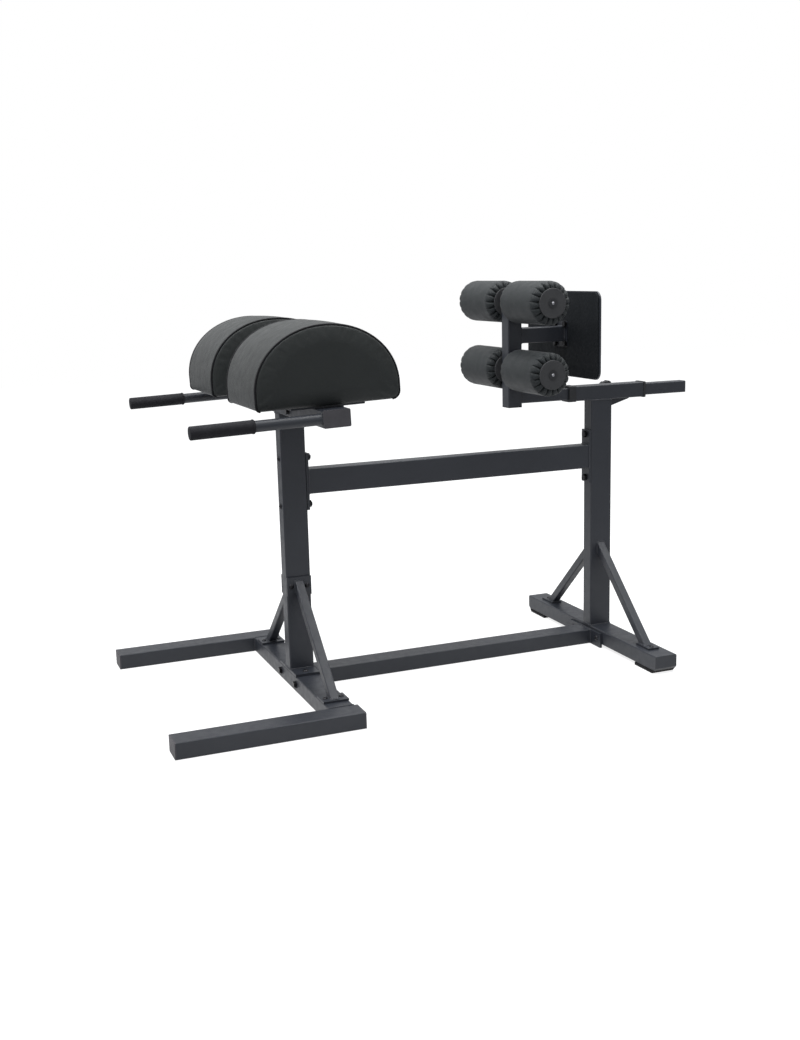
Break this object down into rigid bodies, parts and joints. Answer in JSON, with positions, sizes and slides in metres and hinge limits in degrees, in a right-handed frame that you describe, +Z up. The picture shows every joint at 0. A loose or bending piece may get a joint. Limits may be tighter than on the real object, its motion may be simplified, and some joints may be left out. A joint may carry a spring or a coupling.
{
  "type": "glute ham developer",
  "caption": "Glute ham developer: braced steel frame with split half-round pads, front handles, and ankle rollers with a foot plate on a sliding tube.",
  "frame": {"origin": "on the floor under the middle of the machine's whole length and width", "axes": "+X towards the foot plate and the rear foot, +Y to the user's right-hand side as they face the pads from the rear foot, +Z up"},
  "size_m": [1.95, 0.96, 1.2579],
  "materials": {
    "frame_paint": "satin",
    "cap_plastic": "matte",
    "black_plastic": "satin",
    "black_rubber": "matte",
    "pad_vinyl": "satin",
    "board_wood": "matte",
    "black_steel": "satin",
    "zinc_steel": "satin"
  },
  "bodies": {
    "frame": {"front_leg_left": "frame_paint", "front_leg_right": "frame_paint", "front_cross_member": "frame_paint", "tube_end_caps": "cap_plastic", "front_upright": "frame_paint", "front_brace_left": "frame_paint", "front_brace_right": "frame_paint", "lower_beam": "frame_paint", "upper_beam": "frame_paint", "rear_foot_tube": "frame_paint", "rear_foot_caps": "frame_paint", "rear_foot_pad_left": "black_rubber", "rear_foot_pad_right": "black_rubber", "rear_upright": "frame_paint", "rear_brace_left": "frame_paint", "rear_brace_right": "frame_paint", "slide_sleeve": "frame_paint", "front_slide_bush": "black_plastic", "rear_slide_bush": "black_plastic", "handle_cross_tube": "frame_paint", "handle_left": "frame_paint", "handle_right": "frame_paint", "grip_left": "black_rubber", "grip_right": "black_rubber", "pad_bracket_left": "frame_paint", "pad_bracket_right": "frame_paint", "pad_board_left": "board_wood", "pad_board_right": "board_wood", "pad_left": "pad_vinyl", "pad_right": "pad_vinyl", "base_bolts": "black_steel", "beam_bolts": "black_steel", "brace_bolts": "black_steel", "pad_bolts": "black_steel"},
    "carriage": {"slide_tube": "frame_paint", "slide_end_cap": "black_plastic", "roller_post": "frame_paint", "roller_post_caps": "black_plastic", "foot_plate_arm": "frame_paint", "foot_plate": "frame_paint", "foot_plate_tread": "black_rubber", "foot_plate_bolts": "black_steel", "upper_axle": "zinc_steel", "lower_axle": "zinc_steel", "axle_spacers": "black_plastic", "axle_washers": "black_plastic", "axle_end_bolts": "zinc_steel"},
    "upper_left_roller_body": {"upper_left_roller": "pad_vinyl", "upper_left_roller_core": "black_plastic"},
    "upper_right_roller_body": {"upper_right_roller": "pad_vinyl", "upper_right_roller_core": "black_plastic"},
    "lower_left_roller_body": {"lower_left_roller": "pad_vinyl", "lower_left_roller_core": "black_plastic"},
    "lower_right_roller_body": {"lower_right_roller": "pad_vinyl", "lower_right_roller_core": "black_plastic"},
    "clamp": {"clamp_knob": "black_plastic", "clamp_screw": "zinc_steel"}
  },
  "joints": [
    {"name": "carriage_slide", "type": "slide", "parent": "frame", "child": "carriage", "axis": [1, 0, 0], "range_m": [-0.16, 0.175]},
    {"name": "upper_left_roller_spin", "type": "hinge", "parent": "carriage", "child": "upper_left_roller_body", "pos_m": [0.307, -0.156, 1.19], "axis": [0, 1, 0], "continuous": true},
    {"name": "upper_right_roller_spin", "type": "hinge", "parent": "carriage", "child": "upper_right_roller_body", "pos_m": [0.307, 0.156, 1.19], "axis": [0, 1, 0], "continuous": true},
    {"name": "lower_left_roller_spin", "type": "hinge", "parent": "carriage", "child": "lower_left_roller_body", "pos_m": [0.307, -0.156, 0.97], "axis": [0, 1, 0], "continuous": true},
    {"name": "lower_right_roller_spin", "type": "hinge", "parent": "carriage", "child": "lower_right_roller_body", "pos_m": [0.307, 0.156, 0.97], "axis": [0, 1, 0], "continuous": true},
    {"name": "clamp_knob_turn", "type": "hinge", "parent": "frame", "child": "clamp", "pos_m": [0.706, 0.06, 0.877], "axis": [0, 1, 0], "range_deg": [0, 360]}
  ]
}
